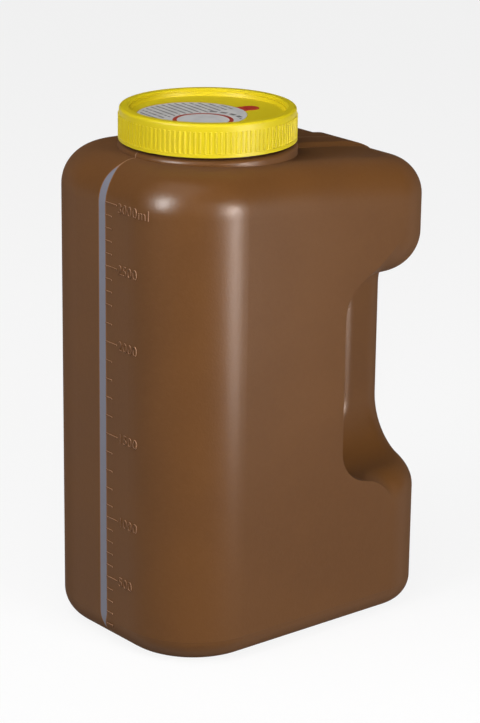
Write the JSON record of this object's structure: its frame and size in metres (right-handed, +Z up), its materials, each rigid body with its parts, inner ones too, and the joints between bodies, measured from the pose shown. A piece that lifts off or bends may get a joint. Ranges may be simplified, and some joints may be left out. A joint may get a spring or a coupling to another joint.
{
  "type": "specimen container",
  "caption": "Tall brown blown container with a rear hand grip, a clear level stripe, a wide screw cap and a sealed tube-filling well.",
  "frame": {"origin": "centre of the footprint on the standing plane", "axes": "+Z up; -Y is the front with the level stripe and scale; +Y is the hand grip; X across the narrow width"},
  "size_m": [0.116, 0.158, 0.252],
  "materials": {
    "brown_polyethylene": "satin",
    "yellow_cap_plastic": "satin",
    "white_foam": "matt",
    "label_film": "satin",
    "steel": "polished",
    "grey_rubber": "matt",
    "clear_tube": "satin"
  },
  "bodies": {
    "container": {"container_neck": "brown_polyethylene", "container_front": "brown_polyethylene", "container_foot": "brown_polyethylene", "container_head": "brown_polyethylene"},
    "cap_lift": {"sealing_ring": "white_foam"},
    "cap": {"screw_cap": "yellow_cap_plastic", "tube_well": "yellow_cap_plastic", "seal_label": "label_film", "cannula": "steel", "cannula_sleeve": "grey_rubber", "dip_tube": "clear_tube"}
  },
  "joints": [
    {"name": "cap_rise", "type": "slide", "parent": "container", "child": "cap_lift", "axis": [0, 0, 1], "range_m": [0, 0.0096]},
    {"name": "cap_turn", "type": "hinge", "parent": "cap_lift", "child": "cap", "pos_m": [0, -0.0183, 0.2367], "axis": [0, 0, 1], "range_deg": [0, 576]}
  ],
  "couplings": [
    {"joint": "cap_rise", "follows": "cap_turn", "m_per_rad": 0.0009549}
  ]
}
